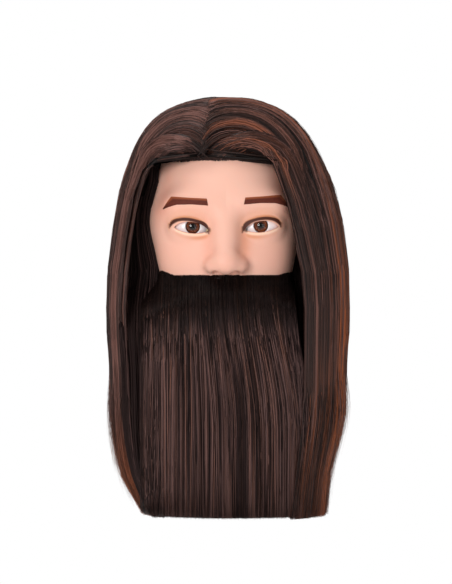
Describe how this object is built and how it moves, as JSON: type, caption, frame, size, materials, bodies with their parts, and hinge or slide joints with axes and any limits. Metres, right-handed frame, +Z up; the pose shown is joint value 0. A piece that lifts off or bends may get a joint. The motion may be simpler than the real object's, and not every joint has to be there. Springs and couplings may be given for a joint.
{
  "type": "mannequin training head",
  "caption": "Barber's practice head with long parted hair, a long straight beard, inset eyes and a neck socket for a bench clamp.",
  "frame": {"origin": "centre of the socket's mouth, in the plane of the flat face under the neck", "axes": "+Z up the neck; -Y the way the face looks; +X the head's own left"},
  "size_m": [0.228, 0.243, 0.3946],
  "materials": {
    "skin": "soft vinyl, satin, tinted round the eyes",
    "foam": "rigid foam, dull",
    "socket": "moulded black, satin",
    "plate": "moulded, satin",
    "screws": "zinc plated",
    "eye_white": "polished",
    "iris": "printed brown under a gloss",
    "cornea": "clear, polished",
    "brow": "printed film, dark red-brown",
    "hair": "fine fibre, semi-gloss, dark brown with auburn outer strands",
    "beard": "fine fibre, semi-gloss, near black at the top edge"
  },
  "bodies": {
    "root": {"head_skin": "skin", "foam_core": "foam", "clamp_socket": "socket", "base_plate": "plate", "base_screw_1": "screws", "base_screw_2": "screws", "base_screw_3": "screws", "base_screw_4": "screws", "eye_globe_right": "eye_white", "eye_iris_right": "iris", "eye_cornea_right": "cornea", "brow_right": "brow", "eye_globe_left": "eye_white", "eye_iris_left": "iris", "eye_cornea_left": "cornea", "brow_left": "brow", "hair_front_right": "hair", "hair_side_right": "hair", "hair_back_right": "hair", "hair_back_centre": "hair", "hair_back_left": "hair", "hair_side_left": "hair", "hair_front_left": "hair", "hairline_roots": "hair", "beard_right": "beard", "beard_centre": "beard", "beard_left": "beard", "moustache": "beard"}
  },
  "joints": []
}
